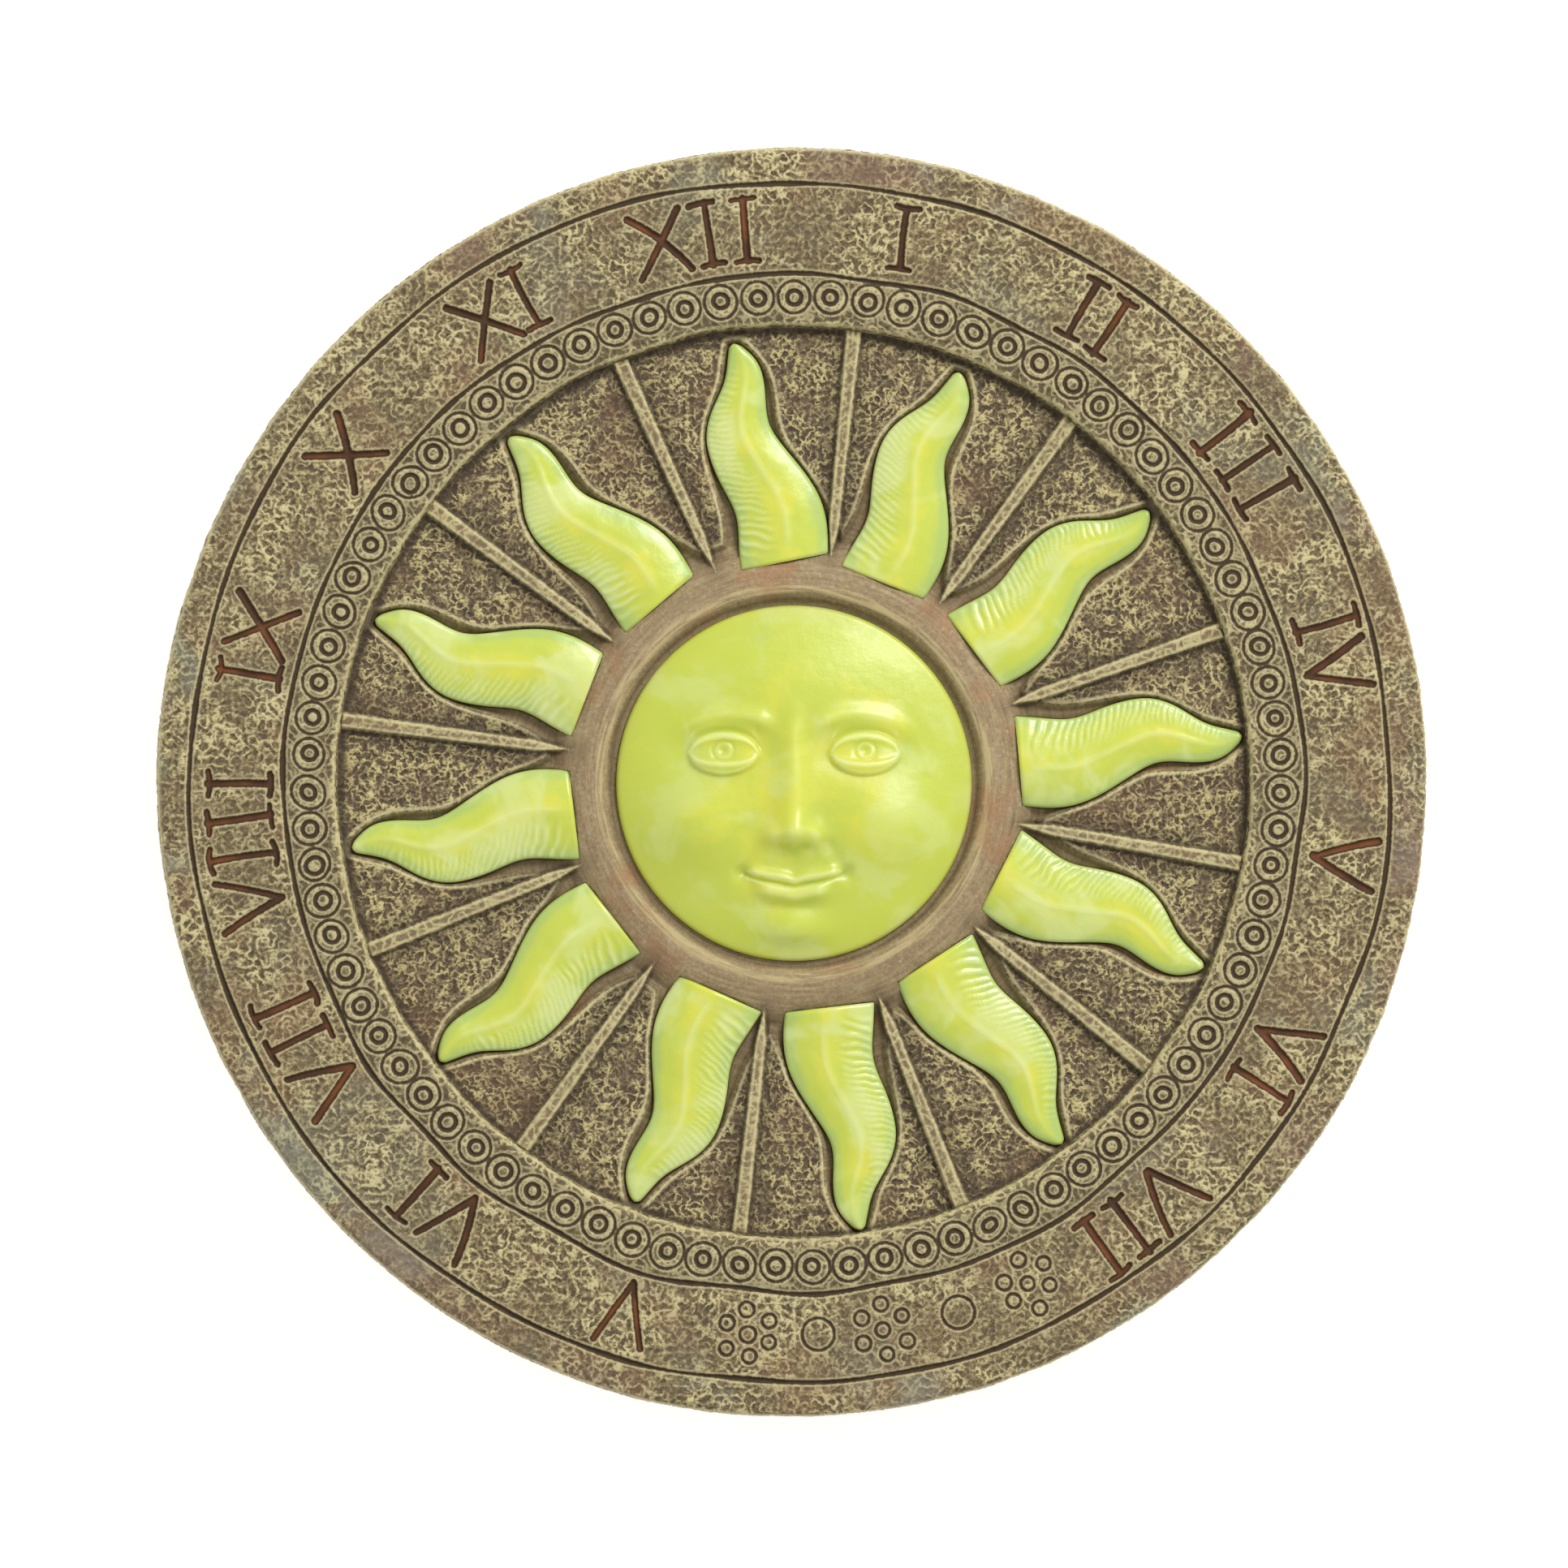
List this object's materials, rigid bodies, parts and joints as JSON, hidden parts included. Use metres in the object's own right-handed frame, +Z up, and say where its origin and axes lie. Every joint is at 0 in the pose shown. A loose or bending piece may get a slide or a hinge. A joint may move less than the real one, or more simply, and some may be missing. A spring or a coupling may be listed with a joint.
{
  "type": "sun garden stone",
  "caption": "Round cast garden stone with a luminous sun in relief: a domed face and flame rays set in pockets, and hour numerals carved round the rim.",
  "frame": {"origin": "centre of the flat back, at ground level", "axes": "+Z up out of the carved side, +Y towards the brow of the sun's face, +X to the right of the face as seen from above"},
  "size_m": [0.254, 0.254, 0.0208],
  "materials": {
    "cast_stone": "matte, hammered relief with a pale olive dry-brushed wash over brown",
    "luminous_resin": "glossy, translucent yellow-green",
    "bedding_adhesive": "cured adhesive, off-white"
  },
  "bodies": {
    "root": {"stone_body": "cast_stone", "face_insert": "luminous_resin", "face_adhesive_bed": "bedding_adhesive", "ray_insert_01": "luminous_resin", "ray_insert_02": "luminous_resin", "ray_insert_03": "luminous_resin", "ray_insert_04": "luminous_resin", "ray_insert_05": "luminous_resin", "ray_insert_06": "luminous_resin", "ray_insert_07": "luminous_resin", "ray_insert_08": "luminous_resin", "ray_insert_09": "luminous_resin", "ray_insert_10": "luminous_resin", "ray_insert_11": "luminous_resin", "ray_insert_12": "luminous_resin", "ray_adhesive_bed_01": "bedding_adhesive", "ray_adhesive_bed_02": "bedding_adhesive", "ray_adhesive_bed_03": "bedding_adhesive", "ray_adhesive_bed_04": "bedding_adhesive", "ray_adhesive_bed_05": "bedding_adhesive", "ray_adhesive_bed_06": "bedding_adhesive", "ray_adhesive_bed_07": "bedding_adhesive", "ray_adhesive_bed_08": "bedding_adhesive", "ray_adhesive_bed_09": "bedding_adhesive", "ray_adhesive_bed_10": "bedding_adhesive", "ray_adhesive_bed_11": "bedding_adhesive", "ray_adhesive_bed_12": "bedding_adhesive"}
  },
  "joints": []
}
